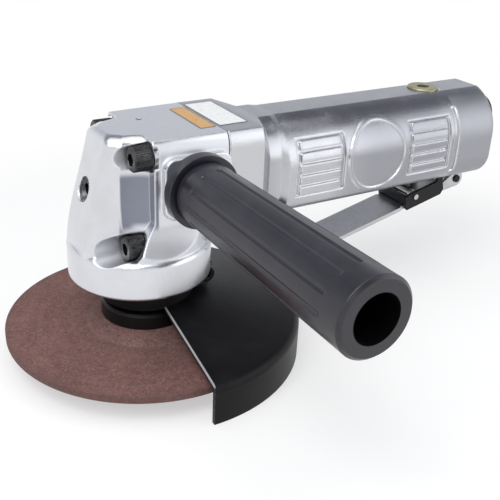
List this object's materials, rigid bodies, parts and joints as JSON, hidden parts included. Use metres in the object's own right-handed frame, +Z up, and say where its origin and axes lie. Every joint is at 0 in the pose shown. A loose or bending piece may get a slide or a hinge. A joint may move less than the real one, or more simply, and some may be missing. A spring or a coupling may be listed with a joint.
{
  "type": "air grinder",
  "caption": "Pneumatic angle grinder: bevel-gear head, vane motor in a grip housing, throttle lever with lock-off latch, side handle, half guard and depressed-centre disc.",
  "frame": {"origin": "free end of the spindle, on the spindle's axis", "axes": "+Z up the spindle towards the gear head, +X back along the motor to the air inlet, -Y out along the side handle"},
  "size_m": [0.2545, 0.2105, 0.1043],
  "materials": {
    "polished_alloy": "polished die-cast alloy",
    "bright_steel": "ground and plated steel",
    "black_steel": "black oxide",
    "black_enamel": "gloss black enamel",
    "abrasive": "resin-bonded grit",
    "black_rubber": "matt moulded rubber",
    "brass": "turned brass",
    "gasket_fibre": "compressed fibre",
    "felt": "sintered felt",
    "vane_fibre": "laminated phenolic"
  },
  "bodies": {
    "housing": {"gear_head": "polished_alloy", "motor_housing": "polished_alloy", "seam_gasket": "gasket_fibre", "head_screws": "black_steel", "lock_washers": "bright_steel", "grease_plug": "black_steel", "bearing_cap": "black_steel", "spindle_seal": "black_rubber", "lower_bearing_outer": "bright_steel", "upper_bearing_outer": "bright_steel", "pinion_bearing_outer": "bright_steel", "rear_bearing_outer": "bright_steel", "front_end_plate": "bright_steel", "cylinder": "bright_steel", "rear_end_plate": "bright_steel", "cylinder_pin": "bright_steel", "valve_seat": "brass", "valve_plug": "brass", "valve_spring": "bright_steel", "inlet_bushing": "bright_steel", "inlet_strainer": "brass", "silencer_pad": "felt", "exhaust_plate": "black_enamel", "lever_pin": "bright_steel", "handle_rod": "bright_steel", "handle_grip": "black_rubber"},
    "spindle": {"spindle": "bright_steel", "bevel_gear": "bright_steel", "gear_key": "bright_steel", "gear_retaining_ring": "bright_steel", "lower_bearing_inner": "bright_steel", "upper_bearing_inner": "bright_steel", "clamp_flange": "black_steel", "grinding_disc": "abrasive", "lock_nut": "black_steel"},
    "rotor": {"rotor": "bright_steel", "rotor_vanes": "vane_fibre", "bevel_pinion": "bright_steel", "pinion_bearing_inner": "bright_steel", "rear_bearing_inner": "bright_steel"},
    "lever": {"throttle_lever": "bright_steel", "latch_pin": "bright_steel"},
    "latch": {"lock_off_latch": "black_steel"},
    "valve": {"valve_stem": "bright_steel", "valve_seal": "black_rubber"},
    "guard": {"guard": "black_enamel", "guard_collar": "black_enamel", "clamp_screw": "black_steel", "clamp_nut": "black_steel"}
  },
  "joints": [
    {"name": "spindle_spin", "type": "hinge", "parent": "housing", "child": "spindle", "pos_m": [0, 0, 0], "axis": [0, 0, 1], "continuous": true},
    {"name": "rotor_spin", "type": "hinge", "parent": "housing", "child": "rotor", "pos_m": [0, 0, 0.077], "axis": [1, 0, 0], "continuous": true},
    {"name": "lever_squeeze", "type": "hinge", "parent": "housing", "child": "lever", "pos_m": [0.176, 0, 0.0496], "axis": [0, 1, 0], "range_deg": [0, 10], "stiffness_Nm_per_rad": 2, "springref_deg": -8.59},
    {"name": "latch_fold", "type": "hinge", "parent": "lever", "child": "latch", "pos_m": [0.14642, 0, 0.04523], "axis": [0, 1, 0], "range_deg": [0, 15.5]},
    {"name": "valve_slide", "type": "slide", "parent": "housing", "child": "valve", "axis": [0, 0, 1], "range_m": [0, 0.0043], "deforming": ["valve_spring"]},
    {"name": "guard_swivel", "type": "hinge", "parent": "housing", "child": "guard", "pos_m": [0, 0, 0], "axis": [0, 0, 1], "range_deg": [-60, 60]}
  ],
  "couplings": [
    {"joint": "rotor_spin", "follows": "spindle_spin", "ratio": 2.5},
    {"joint": "latch_fold", "follows": "lever_squeeze", "ratio": 1.5},
    {"joint": "valve_slide", "follows": "lever_squeeze", "m_per_rad": 0.0243}
  ]
}
